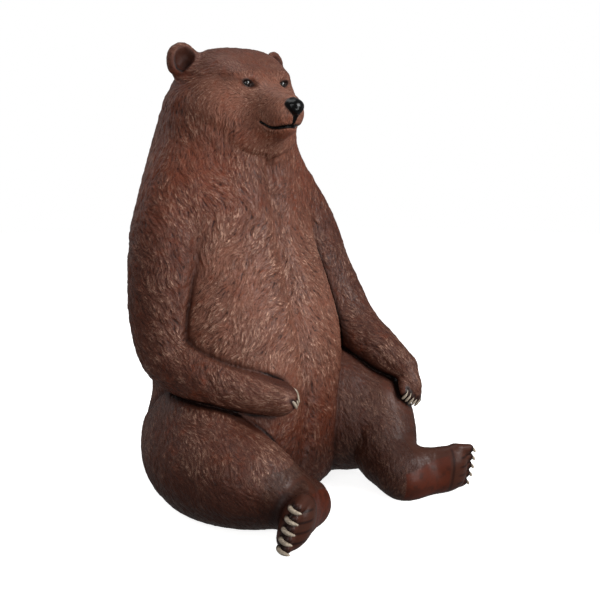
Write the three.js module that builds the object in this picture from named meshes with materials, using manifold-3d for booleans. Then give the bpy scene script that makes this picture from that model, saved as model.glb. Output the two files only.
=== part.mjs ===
// A seated brown bear, one hollow fiberglass casting. Millimetres, +Z up, facing -Y.
// The body is one smooth field of named masses, turned into a closed surface and thinned out.
import * as THREE from "three";
import { SimplifyModifier } from "three/addons/modifiers/SimplifyModifier.js";
import { mergeVertices } from "three/addons/utils/BufferGeometryUtils.js";
import Module from "manifold-3d";

const furColour = 0x5a3c30;
const bodyTriangles = 8300;
const gridStep = 11;
const fineStep = 7;

// Trunk rings: height, half width, front, back
const trunkRings = [
  [-60, 220, 200, 180],
  [40, 300, 330, 262],
  [140, 330, 362, 292],
  [240, 334, 372, 300],
  [360, 318, 372, 274],
  [470, 328, 366, 288],
  [570, 336, 350, 300],
  [670, 330, 322, 302],
  [780, 318, 285, 304],
  [890, 304, 250, 304],
  [1010, 294, 224, 296],
  [1120, 280, 206, 284],
  [1220, 260, 198, 262],
  [1310, 238, 190, 230],
  [1400, 205, 180, 185],
  [1480, 150, 140, 120],
];
const frontSquareness = 2.6;
const humpSize = [200, 150, 230];
const shoulderSize = [125, 140, 180];

// Head
const headTurn = 5;
const headPivotY = -20;
const skullSize = [128, 164, 124];
const cheekSize = [92, 86, 84];
const eyePlace = [73, -181, 1406];
const earPlaces = [[-1, -187, 1485], [1, 203, 1473]];
const earSize = [52, 25, 56];
const earDepth = 20;
const nosePlace = [0, -337, 1328];
const noseSize = [36, 31, 29];
const mouthHeight = 1263;
const mouthCorner = -242;
const smileRise = 19;

// Limb stations: x, y, z, radius
const rightArm = [
  [-232, 12, 1010, 132],
  [-280, -2, 900, 130],
  [-308, -14, 760, 124],
  [-312, -20, 620, 120],
  [-305, -60, 512, 110],
  [-272, -190, 456, 92],
  [-205, -310, 420, 72],
  [-150, -380, 402, 57],
];
const leftArm = [
  [235, 0, 1010, 138],
  [300, -40, 890, 130],
  [342, -80, 760, 120],
  [370, -128, 650, 116],
  [384, -215, 545, 99],
  [399, -335, 468, 80],
  [418, -442, 418, 52],
];
const rightLeg = {
  stations: [
    [-172, 12, 188, 189],
    [-240, -100, 178, 198],
    [-285, -230, 165, 182],
    [-275, -360, 150, 154],
    [-215, -432, 114, 113],
    [-140, -462, 80, 66],
  ],
  lap: [[-260, -135, 280], [128, 178, 118]],
  under: [[-250, -60, 300], [-265, -200, 270], 100, 90],
  heel: [-68, -490],
  toe: [-360, -632],
  side: -1,
  clawReach: -21,
};
const leftLeg = {
  stations: [
    [190, 40, 225, 215],
    [250, -110, 215, 208],
    [318, -270, 208, 184],
    [343, -385, 206, 137],
    [305, -460, 130, 112],
    [280, -530, 95, 92],
  ],
  lap: [[268, -180, 335], [145, 195, 146]],
  under: [[335, -200, 345], [366, -370, 286], 112, 104],
  heel: [252, -582],
  toe: [507, -668],
  side: 1,
  clawReach: -35,
};
const toeBase = 22;
const toePitch = 33;
const toeReach = [4, 8, 8, 5, 0];

// How far the front of the foot leans over its sole, for each millimetre of height
const footLean = 0.27;
const leanStart = 30;

// Hands: the palm, the way the fingers point, the row of knuckles
const rightHand = {
  palm: [-144, -388, 398],
  palmSize: [54, 60, 44],
  fingers: [0.62, -0.6, -0.2],
  row: [0.85, 0.45, 0.25],
  fingerLength: 32,
  clawBack: 6,
  clawLift: 20,
};
const leftHand = {
  palm: [411, -480, 354],
  palmSize: [42, 44, 60],
  fingers: [-0.48, -0.48, -0.74],
  row: [0.72, -0.2, -0.66],
  fingerLength: 44,
  clawBack: 2,
  clawLift: 12,
};
const fingerPitch = 18;
const fingerRadius = 16;
const footClaw = { length: 62, radius: 8.2, bend: 2 };
const handClaw = { length: 42, radius: 6.4, bend: 1.3 };

// Vector helpers on plain arrays
const add = (a, b, t = 1) => [a[0] + b[0] * t, a[1] + b[1] * t, a[2] + b[2] * t];
const dot = (a, b) => a[0] * b[0] + a[1] * b[1] + a[2] * b[2];
const unit = (a) => add([0, 0, 0], a, 1 / Math.hypot(...a));
const cross = (a, b) => [a[1] * b[2] - a[2] * b[1], a[2] * b[0] - a[0] * b[2], a[0] * b[1] - a[1] * b[0]];
const clamp = (v, low, high) => Math.min(Math.max(v, low), high);
const ramp = (v, low, high) => {
  const t = clamp((v - low) / (high - low), 0, 1);
  return t * t * (3 - 2 * t);
};

const softMin = (a, b, k) => {
  const h = Math.max(k - Math.abs(a - b), 0) / k;
  return Math.min(a, b) - h * h * k * 0.25;
};
const softMax = (a, b, k) => -softMin(-a, -b, k);

const ball = (x, y, z, c, r) => {
  const u = (x - c[0]) / r[0];
  const v = (y - c[1]) / r[1];
  const w = (z - c[2]) / r[2];
  const k = Math.sqrt(u * u + v * v + w * w);
  const g = Math.hypot(u / r[0], v / r[1], w / r[2]);
  return (k * (k - 1)) / Math.max(g, 1e-9);
};

// The same, turned so that its second size runs along a direction in the ground plane
const turnedBall = (x, y, z, c, r, dx, dy) => {
  const u = x - c[0];
  const v = y - c[1];
  return ball(u * dy - v * dx, u * dx + v * dy, z - c[2], [0, 0, 0], r);
};

// A tapered rod with round ends, its flanks tangent to both
const rod = (x, y, z, a, b, ra, rb) => {
  const [dx, dy, dz] = [b[0] - a[0], b[1] - a[1], b[2] - a[2]];
  const [px, py, pz] = [x - a[0], y - a[1], z - a[2]];
  const length = Math.sqrt(dx * dx + dy * dy + dz * dz);
  const along = (px * dx + py * dy + pz * dz) / length;
  const off = Math.sqrt(Math.max(px * px + py * py + pz * pz - along * along, 0));
  const taper = (rb - ra) / length;
  const t = clamp((along + (taper * off) / Math.sqrt(1 - taper * taper)) / length, 0, 1);
  return Math.hypot(off, along - t * length) - (ra + (rb - ra) * t);
};

// A smooth run through stations, four steps a span
const smoothRun = (stations) => {
  const first = stations[0].map((v, i) => 2 * v - stations[1][i]);
  const end = stations[stations.length - 1];
  const last = end.map((v, i) => 2 * v - stations[stations.length - 2][i]);
  const p = [first, ...stations, last];
  const run = [];
  for (let i = 1; i < p.length - 2; i++) {
    for (let j = 0; j < 4; j++) {
      const t = j / 4;
      run.push(p[i].map((v, k) => {
        const [a, b, c] = [p[i - 1][k], p[i + 1][k], p[i + 2][k]];
        const [square, cube] = [2 * a - 5 * v + 4 * b - c, 3 * v - a - 3 * b + c];
        return 0.5 * (2 * v + (b - a) * t + square * t * t + cube * t ** 3);
      }));
    }
  }
  run.push(end);
  return run;
};

const limb = (run) => (x, y, z) => {
  let d = 1e9;
  for (let i = 0; i + 1 < run.length; i++) {
    d = Math.min(d, rod(x, y, z, run[i], run[i + 1], run[i][3], run[i + 1][3]));
  }
  return d;
};

const ringValue = (z, column) => {
  const r = trunkRings;
  let i = 0;
  while (i < r.length - 2 && z > r[i + 1][0]) i++;
  const slope = (k) => {
    const a = Math.max(k - 1, 0);
    const b = Math.min(k + 1, r.length - 1);
    return (r[b][column] - r[a][column]) / (r[b][0] - r[a][0]);
  };
  const h = r[i + 1][0] - r[i][0];
  const t = clamp((z - r[i][0]) / h, 0, 1);
  const t2 = t * t;
  const t3 = t2 * t;
  return (2 * t3 - 3 * t2 + 1) * r[i][column] + (t3 - 2 * t2 + t) * h * slope(i)
    + (3 * t2 - 2 * t3) * r[i + 1][column] + (t3 - t2) * h * slope(i + 1);
};

const trunk = (x, y, z) => {
  const a = ringValue(z, 1);
  const front = ringValue(z, 2);
  const back = ringValue(z, 3);
  const half = (front + back) / 2;
  const v = y - (back - front) / 2;
  const n = v < 0 ? frontSquareness - 0.6 * clamp((z - 600) / 500, 0, 1) : 2;
  const p = Math.abs(x) / a;
  const q = Math.abs(v) / half;
  const k = Math.max((p ** n + q ** n) ** (1 / n), 1e-6);
  const g = Math.hypot(p ** (n - 1) / a, q ** (n - 1) / half) / k ** (n - 1);
  let d = softMax((k - 1) / Math.max(g, 1e-6), z - 1400, 120);
  d = softMin(d, ball(x, y, z, [0, 165, 1040], humpSize), 80);
  d = softMin(d, ball(x, y, z, [215, 10, 1005], shoulderSize), 80);
  return softMin(d, ball(x, y, z, [-215, 10, 1005], shoulderSize), 80);
};

const headCos = Math.cos((headTurn * Math.PI) / 180);
const headSin = Math.sin((headTurn * Math.PI) / 180);
const head = (worldX, worldY, z) => {
  const x = worldX * headCos - (worldY - headPivotY) * headSin;
  const y = worldX * headSin + (worldY - headPivotY) * headCos + headPivotY;
  // Skull, cheeks and the ruff under the jaw
  let d = ball(x, y, z, [58, -18, 1402], skullSize);
  d = softMin(d, ball(x, y, z, [-58, -18, 1402], skullSize), 60);
  d = softMin(d, ball(x, y, z, [0, 10, 1325], [238, 190, 140]), 60);
  d = softMin(d, ball(x, y, z, [100, -88, 1305], cheekSize), 60);
  d = softMin(d, ball(x, y, z, [-100, -88, 1305], cheekSize), 60);
  d = softMin(d, ball(x, y, z, [0, -125, 1222], [145, 104, 78]), 60);
  // Muzzle and jaw
  let m = rod(x, y, z, [0, -150, 1364], [0, -300, 1328], 66, 40);
  m = softMin(m, rod(x, y, z, [0, -150, 1322], [0, -284, 1312], 98, 60), 30);
  m = softMin(m, rod(x, y, z, [0, -150, 1285], [0, -270, 1272], 88, 46), 30);
  d = softMin(d, m, 45);
  const [eyeX, eyeY, eyeZ] = eyePlace;
  for (const [s, earX, earZ] of earPlaces) {
    d = softMin(d, ball(x, y, z, [s * 62, -160, 1427], [50, 30, 17]), 45);
    d = softMax(d, -ball(x, y, z, [s * (eyeX + 3), eyeY - 26, eyeZ - 1], [25, 20, 14]), 14);
    d = softMin(d, ball(x, y, z, [s * eyeX, eyeY, eyeZ], [16, 16, 15]), 3);
    d = softMin(d, ball(x, y, z, [s * 26, -297, 1303], [30, 37, 32]), 22);
    // Ear with its hollow
    const [nx, ny] = [s * 0.35, -0.94];
    let ear = turnedBall(x, y, z, [earX, earDepth, earZ], earSize, nx, ny);
    ear = softMin(ear, rod(x, y, z, [s * 130, 8, 1430], [earX - s * 15, 18, earZ - 17], 52, 42), 30);
    const hollow = [earX - s * 8 + nx * 24, earDepth + ny * 24, earZ - 3];
    ear = softMax(ear, -turnedBall(x, y, z, hollow, [31, 25, 38], nx, ny), 10);
    d = softMin(d, ear, 30);
  }
  // Nose pad, narrower below, and the line between the lips
  const wedge = (Math.abs(x) - (12 + 0.8 * Math.max(z - 1303, 0))) * 0.78;
  d = softMin(d, softMax(ball(x, y, z, nosePlace, noseSize), wedge, 8), 7);
  for (const s of [-1, 1]) d = softMax(d, -ball(x, y, z, [s * 20, -366, 1328], [10, 12, 7]), 5);
  const lips = mouthHeight + smileRise * ramp(y, mouthCorner - 44, mouthCorner) + 6 * ramp(-y, 300, 335);
  const lipLine = clamp(1 - Math.abs(z - lips) / 9, 0, 1) * clamp((mouthCorner - y) / 8, 0, 1);
  return d + 7 * lipLine;
};

const footFrame = (leg) => {
  const dx = leg.toe[0] - leg.heel[0];
  const dy = leg.toe[1] - leg.heel[1];
  const length = Math.hypot(dx, dy);
  const along = [dx / length, dy / length, 0];
  const sole = [leg.side * along[1], -leg.side * along[0], 0];
  return { length, along, sole, origin: [leg.heel[0], leg.heel[1], 0] };
};

const legField = (leg) => {
  const thigh = limb(smoothRun(leg.stations));
  const f = footFrame(leg);
  const l = f.length;
  return (wx, wy, z) => {
    const px = wx - leg.heel[0];
    const py = wy - leg.heel[1];
    const x = px * f.along[0] + py * f.along[1];
    const y = px * f.sole[0] + py * f.sole[1] - footLean * clamp((x - 80) / 130, 0, 1) * (z - leanStart);
    // The foot lies on its outer edge with the sole facing forward
    let foot = ball(x, y, z, [46, -12, 64], [72, 58, 70]);
    foot = softMin(foot, ball(x, y, z, [l * 0.48, -12, 84], [95, 52, 84]), 30);
    foot = softMin(foot, ball(x, y, z, [l - 82, -4, 86], [62, 52, 86]), 30);
    foot = softMin(foot, rod(x, y, z, [20, -6, 48], [l - 60, -4, 42], 46, 38), 30);
    for (let i = 0; i < 5; i++) {
      const h = toeBase + toePitch * i;
      foot = softMin(foot, rod(x, y, z, [l - 70, -6, h], [l - 20 + toeReach[i], -2, h], 27, 19), 7);
    }
    const d = softMin(softMin(thigh(wx, wy, z), foot, 60), rod(wx, wy, z, ...leg.under), 50);
    return softMin(d, ball(wx, wy, z, leg.lap[0], leg.lap[1]), 60);
  };
};

const handFrame = (hand) => {
  const forward = unit(hand.fingers);
  const row = unit(add(hand.row, forward, -dot(hand.row, forward)));
  let back = unit(cross(row, forward));
  if (back[2] < 0) back = back.map((v) => -v);
  return { forward, row, back };
};

const armField = (stations, hand) => {
  const sleeve = limb(smoothRun(stations));
  const f = handFrame(hand);
  const fingers = [];
  for (let i = -2; i <= 2; i++) {
    const root = add(hand.palm, f.row, i * fingerPitch);
    fingers.push([root, add(root, f.forward, hand.fingerLength - Math.abs(i) * 3)]);
  }
  return (x, y, z) => {
    let d = softMin(sleeve(x, y, z), ball(x, y, z, hand.palm, hand.palmSize), 25);
    for (const [a, b] of fingers) d = softMin(d, rod(x, y, z, a, b, fingerRadius + 4, fingerRadius), 8);
    return d;
  };
};

const rightArmField = armField(rightArm, rightHand);
const leftArmField = armField(leftArm, leftHand);
const rightLegField = legField(rightLeg);
const leftLegField = legField(leftLeg);

// The seam that runs down the chest and belly, with a notch at the throat
const seam = (x, y, z) => {
  if (y > 0) return 0;
  const run = clamp((1175 - z) / 40, 0, 1) * clamp((z - 120) / 80, 0, 1);
  return (16 * Math.exp(-((x / 42) ** 2)) + 6 * Math.exp(-((x / 16) ** 2))) * run
    + 10 * Math.exp(-((x / 18) ** 2) - ((z - 1150) / 28) ** 2);
};

const bodyField = (x, y, z) => {
  let d = softMin(trunk(x, y, z), head(x, y, z), 50) + seam(x, y, z);
  d = softMin(d, rightLegField(x, y, z), 30);
  d = softMin(d, leftLegField(x, y, z), 30);
  d = softMin(d, rightArmField(x, y, z), 20);
  d = softMin(d, leftArmField(x, y, z), 20);
  return Math.max(d, -z - 20);
};

// Grid lines, closer together over the face
const gridLines = (low, high, fineLow, fineHigh) => {
  const lines = [low];
  while (lines[lines.length - 1] < high) {
    const v = lines[lines.length - 1];
    lines.push(v + (v >= fineLow && v < fineHigh ? fineStep : gridStep));
  }
  return lines;
};

// Marching tetrahedra, six to a cell, give a surface with no open or shared edges
const polygonise = (field, xs, ys, zs) => {
  const [nx, ny, nz] = [xs.length, ys.length, zs.length];
  const at = (i, j, k) => (i * ny + j) * nz + k;
  const values = new Float64Array(nx * ny * nz);
  const block = 5;
  for (let i = 0; i < nx; i += block) {
    for (let j = 0; j < ny; j += block) {
      for (let k = 0; k < nz; k += block) {
        const [ie, je, ke] = [Math.min(i + block, nx), Math.min(j + block, ny), Math.min(k + block, nz)];
        const centre = field((xs[i] + xs[ie - 1]) / 2, (ys[j] + ys[je - 1]) / 2, (zs[k] + zs[ke - 1]) / 2);
        const far = Math.abs(centre) > 110;
        for (let a = i; a < ie; a++) {
          for (let b = j; b < je; b++) {
            for (let c = k; c < ke; c++) {
              const v = far ? centre : field(xs[a], ys[b], zs[c]);
              values[at(a, b, c)] = Math.abs(v) < 0.02 ? 0.02 : v;
            }
          }
        }
      }
    }
  }
  // Pockets that the outside can't reach are cast solid
  const open = new Uint8Array(values.length);
  const queue = [0];
  open[0] = 1;
  while (queue.length) {
    const n = queue.pop();
    const [i, j, k] = [Math.floor(n / (ny * nz)), Math.floor(n / nz) % ny, n % nz];
    const next = [];
    if (i > 0) next.push(n - ny * nz);
    if (i + 1 < nx) next.push(n + ny * nz);
    if (j > 0) next.push(n - nz);
    if (j + 1 < ny) next.push(n + nz);
    if (k > 0) next.push(n - 1);
    if (k + 1 < nz) next.push(n + 1);
    for (const q of next) {
      if (!open[q] && values[q] > 0) {
        open[q] = 1;
        queue.push(q);
      }
    }
  }
  for (let n = 0; n < values.length; n++) if (values[n] > 0 && !open[n]) values[n] = -1;
  const positions = [];
  const triangles = [];
  const known = new Map();
  const size = nx * ny * nz;
  const place = (n) => [xs[Math.floor(n / (ny * nz))], ys[Math.floor(n / nz) % ny], zs[n % nz]];
  const crossing = (a, b) => {
    const key = a < b ? a * size + b : b * size + a;
    let index = known.get(key);
    if (index === undefined) {
      const t = values[a] / (values[a] - values[b]);
      const [p, q] = [place(a), place(b)];
      index = positions.length / 3;
      positions.push(p[0] + (q[0] - p[0]) * t, p[1] + (q[1] - p[1]) * t, p[2] + (q[2] - p[2]) * t);
      known.set(key, index);
    }
    return index;
  };
  const orders = [[0, 1, 2], [0, 2, 1], [1, 0, 2], [1, 2, 0], [2, 0, 1], [2, 1, 0]];
  const step = [ny * nz, nz, 1];
  const cornerStep = [];
  for (let c = 0; c < 8; c++) cornerStep.push((c & 1) * step[0] + ((c >> 1) & 1) * step[1] + (c >> 2) * step[2]);
  const face = (a, b, c, flip) => {
    if (flip) triangles.push(a, c, b);
    else triangles.push(a, b, c);
  };
  for (let i = 0; i + 1 < nx; i++) {
    for (let j = 0; j + 1 < ny; j++) {
      for (let k = 0; k + 1 < nz; k++) {
        const base = at(i, j, k);
        let inside = 0;
        for (const corner of cornerStep) if (values[base + corner] < 0) inside++;
        if (inside === 0 || inside === 8) continue;
        orders.forEach((o, n) => {
          const odd = n === 1 || n === 2 || n === 5;
          const v = [base, base + step[o[0]], base + step[o[0]] + step[o[1]], base + cornerStep[7]];
          const low = v.filter((q) => values[q] < 0);
          const high = v.filter((q) => values[q] >= 0);
          if (!low.length || !high.length) return;
          // Whether the listed order, low corners first, keeps the handedness of the tetrahedron
          const listed = [...low, ...high].map((q) => v.indexOf(q));
          let swaps = 0;
          for (let a = 0; a < 4; a++) for (let b = a + 1; b < 4; b++) if (listed[a] > listed[b]) swaps++;
          const flip = (swaps % 2 === 1) !== odd;
          if (low.length === 1) {
            face(crossing(low[0], high[0]), crossing(low[0], high[1]), crossing(low[0], high[2]), flip);
          } else if (low.length === 3) {
            face(crossing(low[0], high[0]), crossing(low[1], high[0]), crossing(low[2], high[0]), flip);
          } else {
            const [a, b, c, d] = [
              crossing(low[0], high[0]), crossing(low[0], high[1]),
              crossing(low[1], high[1]), crossing(low[1], high[0]),
            ];
            face(a, b, c, flip);
            face(a, c, d, flip);
          }
        });
      }
    }
  }
  const geometry = new THREE.BufferGeometry();
  geometry.setAttribute("position", new THREE.Float32BufferAttribute(positions, 3));
  geometry.setIndex(triangles);
  return geometry;
};

// A claw: a tapering horn, six sided, swept along a bend
const claw = (root, forward, down, size) => {
  const rings = 4;
  const sides = 6;
  const across = unit(cross(forward, down));
  const bendRadius = size.length / size.bend;
  const arc = (a) => add(add(root, forward, Math.sin(a) * bendRadius), down, (1 - Math.cos(a)) * bendRadius);
  const positions = [];
  const index = [];
  for (let i = 0; i < rings; i++) {
    const t = i / rings;
    const bend = t * size.bend;
    const centre = arc(bend);
    const heading = add(add([0, 0, 0], forward, Math.cos(bend)), down, Math.sin(bend));
    const up = cross(across, heading);
    const r = size.radius * (1 - 0.12 * t - 0.5 * t ** 6);
    for (let j = 0; j < sides; j++) {
      const w = (j / sides) * Math.PI * 2;
      positions.push(...add(add(centre, across, Math.cos(w) * r * 0.9), up, Math.sin(w) * r));
    }
  }
  positions.push(...arc(size.bend), ...root);
  for (let j = 0; j < sides; j++) {
    const n = (j + 1) % sides;
    for (let i = 0; i + 1 < rings; i++) {
      const [a, b, c, d] = [i * sides + j, i * sides + n, (i + 1) * sides + n, (i + 1) * sides + j];
      index.push(a, c, b, a, d, c);
    }
    const last = (rings - 1) * sides;
    index.push(last + n, last + j, rings * sides);
    index.push(j, n, rings * sides + 1);
  }
  const geometry = new THREE.BufferGeometry();
  geometry.setAttribute("position", new THREE.Float32BufferAttribute(positions, 3));
  geometry.setIndex(index);
  return geometry;
};

const claws = [];
for (const leg of [rightLeg, leftLeg]) {
  const f = footFrame(leg);
  for (let i = 0; i < 5; i++) {
    const h = toeBase + toePitch * i;
    let root = add(f.origin, f.along, f.length + leg.clawReach + toeReach[i]);
    root = add(add(root, f.sole, footLean * (h - leanStart) - 22), [0, 0, 1], h + 4);
    claws.push(claw(root, f.along, unit(add(f.sole, [0, 0, 1], -0.2)), footClaw));
  }
}
for (const hand of [rightHand, leftHand]) {
  const f = handFrame(hand);
  for (let i = -2; i <= 2; i++) {
    let root = add(hand.palm, f.row, i * fingerPitch);
    root = add(root, f.forward, hand.fingerLength - Math.abs(i) * 3 - hand.clawBack);
    root = add(root, f.back, hand.clawLift);
    claws.push(claw(root, f.forward, f.back.map((v) => -v), handClaw));
  }
}

const wasm = await Module();
wasm.setup();
const solid = (geometry) => new wasm.Manifold(new wasm.Mesh({
  numProp: 3,
  vertProperties: new Float32Array(geometry.attributes.position.array),
  triVerts: new Uint32Array(geometry.index.array),
}));

const surface = polygonise(
  bodyField,
  gridLines(-530, 580, -112, 112),
  gridLines(-760, 380, -400, -150),
  gridLines(-41, 1570, 1240, 1570),
);
const count = surface.index.count / 3;
const thinned = await new SimplifyModifier().modify(surface, Math.round((count - bodyTriangles) / 2));
for (const name of Object.keys(thinned.attributes)) if (name !== "position") thinned.deleteAttribute(name);
let body = solid(mergeVertices(thinned, 1e-4));
for (const c of claws) body = body.add(solid(c));

// The underside is cut flat where the bear sits
const room = new THREE.BoxGeometry(3000, 3000, 3000).translate(0, 0, 1500);
room.deleteAttribute("normal");
room.deleteAttribute("uv");
body = body.intersect(solid(mergeVertices(room)));

const result = body.getMesh();
const finished = new THREE.BufferGeometry();
finished.setAttribute("position", new THREE.BufferAttribute(result.vertProperties, 3));
finished.setIndex(new THREE.BufferAttribute(result.triVerts, 1));
finished.computeVertexNormals();
finished.computeBoundingBox();
const box = finished.boundingBox;

const paint = new THREE.MeshStandardMaterial({ color: furColour, roughness: 0.45, metalness: 0 });
const bear = new THREE.Mesh(finished, paint);
bear.name = "bear";
bear.position.set(-(box.min.x + box.max.x) / 2, -(box.min.y + box.max.y) / 2, 0);

const group = new THREE.Group();
group.add(bear);
export default group;
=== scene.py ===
import math

import bpy
import numpy as np
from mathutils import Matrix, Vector


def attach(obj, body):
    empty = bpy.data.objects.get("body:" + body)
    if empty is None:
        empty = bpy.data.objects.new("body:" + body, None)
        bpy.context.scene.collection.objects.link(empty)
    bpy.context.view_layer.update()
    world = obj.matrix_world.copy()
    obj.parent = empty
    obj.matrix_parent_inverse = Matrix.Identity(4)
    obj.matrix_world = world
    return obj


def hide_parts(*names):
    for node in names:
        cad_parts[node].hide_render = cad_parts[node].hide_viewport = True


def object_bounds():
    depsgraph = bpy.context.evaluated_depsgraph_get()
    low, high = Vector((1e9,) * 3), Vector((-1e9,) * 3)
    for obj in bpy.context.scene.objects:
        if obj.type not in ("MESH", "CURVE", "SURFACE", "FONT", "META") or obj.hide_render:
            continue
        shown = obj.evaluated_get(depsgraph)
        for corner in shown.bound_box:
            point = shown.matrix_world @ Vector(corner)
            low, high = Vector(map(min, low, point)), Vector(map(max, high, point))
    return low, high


# A seated brown bear, life-size, cast in fiberglass and painted by hand.
# The form is worked out in millimetres, facing -Y, and turned into metres at the end.

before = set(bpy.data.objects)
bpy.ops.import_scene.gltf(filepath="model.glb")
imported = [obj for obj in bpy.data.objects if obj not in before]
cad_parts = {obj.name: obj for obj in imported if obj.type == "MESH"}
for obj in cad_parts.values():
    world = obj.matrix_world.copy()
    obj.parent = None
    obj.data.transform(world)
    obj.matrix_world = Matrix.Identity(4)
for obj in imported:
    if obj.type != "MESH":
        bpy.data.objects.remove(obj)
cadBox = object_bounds()
millimetre = 0.001

# Trunk

trunkShape = {
    "rings": [  # height, half width, front, back
        (-60, 220, 200, 180),
        (40, 300, 330, 262),
        (140, 330, 362, 292),
        (240, 334, 372, 300),
        (360, 318, 372, 274),
        (470, 328, 366, 288),
        (570, 336, 350, 300),
        (670, 330, 322, 302),
        (780, 318, 285, 304),
        (890, 304, 250, 304),
        (1010, 294, 224, 296),
        (1120, 280, 206, 284),
        (1220, 260, 198, 262),
        (1310, 238, 190, 230),
        (1400, 205, 180, 185),
        (1480, 150, 140, 120),
    ],
    "frontSquareness": 2.6,
    "top": 1400,
    "hump": ((0, 165, 1040), (200, 150, 230)),
    "shoulder": ((215, 10, 1005), (125, 140, 180)),
    "seamTop": 1175,
    "throat": 1150,
}

headShape = {
    "turn": 5,
    "pivotY": -20,
    "masses": [  # centre, size, and how softly each joins those before it: skull, neck ruff, cheeks, throat
        ((58, -18, 1402), (128, 164, 124), 60), ((-58, -18, 1402), (128, 164, 124), 60),
        ((0, 10, 1325), (238, 190, 140), 60), ((100, -88, 1305), (92, 86, 84), 60),
        ((-100, -88, 1305), (92, 86, 84), 60), ((0, -125, 1222), (145, 104, 78), 60),
    ],
    "muzzle": [  # from, to, and the radius at either end: bridge, lips, jaw
        ((0, -150, 1364), (0, -300, 1328), 66, 40), ((0, -150, 1322), (0, -284, 1312), 98, 60),
        ((0, -150, 1285), (0, -270, 1272), 88, 46),
    ],
    "brow": ((62, -160, 1427), (50, 30, 17)),
    "lip": ((26, -297, 1303), (30, 37, 32)),
    "eye": (73, -181, 1406),
    "eyeSize": (16, 16, 15),
    "lidRim": ((2, 1, 1), (27, 19.5, 20)),           # measured from the eye
    "lidOpening": ((0, -16, -1), (21, 17, 10.5)),
    "lidTilt": 0.22,
    "ears": {-1: (-187, 20, 1485), 1: (203, 20, 1473)},
    "earSize": (52, 25, 56),
    "earFacing": (0.35, -0.94),
    "earHollow": (30, 26, 38),
    "earHollowOut": 24,    # from the middle of the ear to that of its hollow
    "nose": (0, -337, 1328),
    "noseSize": (36, 31, 29),
    "nostril": ((12, -372, 1322), (30, -360, 1334), 5.5, 3.5),
    "mouth": 1263,         # height of the lip line at its lowest
    "mouthCorner": -242,
    "smile": 19,           # how far the corners rise
}

armShapes = {
    "right": {  # stations: x, y, z, radius
        "stations": [
            (-232, 12, 1010, 132), (-280, -2, 900, 130), (-308, -14, 760, 124), (-312, -20, 620, 120),
            (-305, -60, 512, 110), (-272, -190, 456, 92), (-205, -310, 420, 72), (-150, -380, 402, 57),
        ],
        "palm": (-144, -388, 398),
        "palmSize": (54, 60, 44),
        "fingers": (0.62, -0.6, -0.2),
        "clawLift": 26,
        "row": (0.85, 0.45, 0.25),
        "fingerLength": 32,
        "clawBack": 0,
    },
    "left": {
        "stations": [
            (235, 0, 1010, 138), (300, -40, 890, 130), (342, -80, 760, 120), (370, -128, 650, 116),
            (384, -215, 545, 99), (399, -335, 468, 80), (418, -442, 418, 52),
        ],
        "palm": (411, -480, 354),
        "palmSize": (42, 44, 60),
        "fingers": (-0.48, -0.48, -0.74),
        "clawLift": 12,
        "row": (0.72, -0.2, -0.66),
        "fingerLength": 44,
        "clawBack": 8,
    },
}
fingerPitch = 18
fingerRadius = 16

legShapes = {
    "right": {
        "stations": [
            (-172, 12, 188, 189), (-240, -100, 178, 198), (-285, -230, 165, 182), (-275, -360, 150, 154),
            (-215, -432, 114, 113), (-140, -462, 80, 66),
        ],
        "lap": ((-260, -135, 280), (128, 178, 118)),    # the swell on top of the thigh
        "under": ((-250, -60, 300), (-265, -200, 270), 100, 90),    # fills the thigh out to the forearm on it
        "heel": (-68, -490),
        "toe": (-360, -632),
        "side": -1,
        "clawReach": -21,    # where the claws start, from the end of the foot
    },
    "left": {
        "stations": [
            (190, 40, 225, 215), (250, -110, 215, 208), (318, -270, 208, 184), (343, -385, 206, 137),
            (305, -460, 130, 112), (280, -530, 95, 92),
        ],
        "lap": ((268, -180, 335), (145, 195, 146)),
        "under": ((335, -200, 345), (366, -370, 286), 112, 104),
        "heel": (252, -582),
        "toe": (507, -668),
        "side": 1,
        "clawReach": -35,
    },
}
toeBase = 22       # height of the lowest toe, and the step from one to the next
toePitch = 33
toeReach = (4, 8, 8, 5, 0)    # lowest toe first
footMasses = [  # heel, arch and ball: share of the foot's length, then along, out and up from there; size
    (0, (46, -12, 64), (72, 58, 70)), (0.48, (0, -12, 84), (95, 52, 84)), (1, (-82, -4, 86), (62, 52, 86)),
]
footLean = 0.27    # how far the front of the foot leans over its sole, above this height
leanStart = 30

footClaw = {"length": 62, "radius": 8.2, "bend": 2.0}
handClaw = {"length": 42, "radius": 6.4, "bend": 1.3}

farAway = 400.0    # stands for any distance that is out of reach


def ramp(value, low, high):
    t = np.clip((value - low) / (high - low), 0, 1)
    return t * t * (3 - 2 * t)


def softMin(a, b, k):
    h = np.maximum(k - np.abs(a - b), 0) / k
    return np.minimum(a, b) - h * h * (k * 0.25)


def softMax(a, b, k):
    return -softMin(-a, -b, k)


def ball(x, y, z, centre, size):
    u = (x - centre[0]) / size[0]
    v = (y - centre[1]) / size[1]
    w = (z - centre[2]) / size[2]
    k = np.sqrt(u * u + v * v + w * w)
    g = np.sqrt((u / size[0]) ** 2 + (v / size[1]) ** 2 + (w / size[2]) ** 2)
    return k * (k - 1) / np.maximum(g, 1e-9)


def mirroredBall(x, y, z, centre, size, side):
    return ball(side * x, y, z, centre, size)


def turnedBall(x, y, z, centre, size, facing):
    u = x - centre[0]
    v = y - centre[1]
    across = u * facing[1] - v * facing[0]
    along = u * facing[0] + v * facing[1]
    return ball(across, along, z - centre[2], (0, 0, 0), size)


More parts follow.
